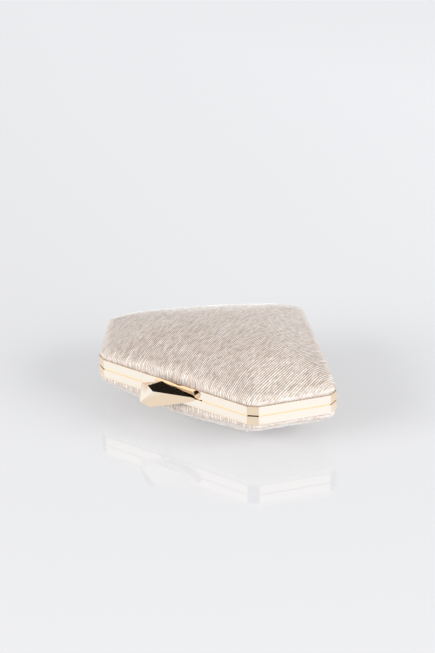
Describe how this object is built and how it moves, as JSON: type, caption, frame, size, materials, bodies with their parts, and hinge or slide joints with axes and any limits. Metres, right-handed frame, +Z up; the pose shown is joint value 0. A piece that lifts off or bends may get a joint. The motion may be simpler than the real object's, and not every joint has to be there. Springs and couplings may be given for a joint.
{
  "type": "minaudiere",
  "caption": "Hard gem-shaped box clutch with two domed fabric halves in metal bands, a back hinge and a faceted lift clasp.",
  "frame": {"origin": "on the floor, in the middle of the flat that the base rests on", "axes": "+X along the clasp side to the right, the clasp faces -Y, the hinge is at +Y, +Z up"},
  "size_m": [0.1896, 0.1612, 0.0578],
  "materials": {
    "polished_gold": "polished pale gold plate",
    "steel_pin": "plain bright steel",
    "ribbed_fabric": "finely ribbed champagne fabric with a soft metallic sheen",
    "padding_foam": "thin pale foam",
    "shell_board": "matt moulded shell",
    "satin_lining": "smooth champagne satin"
  },
  "bodies": {
    "base": {"base_frame": "polished_gold", "base_shell": "shell_board", "base_padding": "padding_foam", "base_cover": "ribbed_fabric", "base_lining": "satin_lining", "hinge_leaf_base": "polished_gold", "hinge_pin": "steel_pin", "hinge_rivets_base": "polished_gold", "keeper": "polished_gold", "keeper_rivets": "steel_pin"},
    "lid": {"lid_frame": "polished_gold", "lid_shell": "shell_board", "lid_padding": "padding_foam", "lid_cover": "ribbed_fabric", "lid_lining": "satin_lining", "hinge_leaf_lid": "polished_gold", "hinge_rivets_lid": "polished_gold", "clasp_block": "polished_gold", "clasp_rivets": "steel_pin", "clasp_pin": "steel_pin", "clasp_spring": "steel_pin"},
    "lever": {"clasp_lever": "polished_gold", "latch_hook": "steel_pin", "hook_rivets": "steel_pin"}
  },
  "joints": [
    {"name": "lid_hinge", "type": "hinge", "parent": "base", "child": "lid", "pos_m": [0, 0.08148, 0.0289], "axis": [-1, 0, 0], "range_deg": [0, 100]},
    {"name": "clasp_lift", "type": "hinge", "parent": "lid", "child": "lever", "pos_m": [0, -0.0614, 0.0319], "axis": [-1, 0, 0], "range_deg": [0, 20], "stiffness_Nm_per_rad": 0.02, "springref_deg": -20.05}
  ]
}
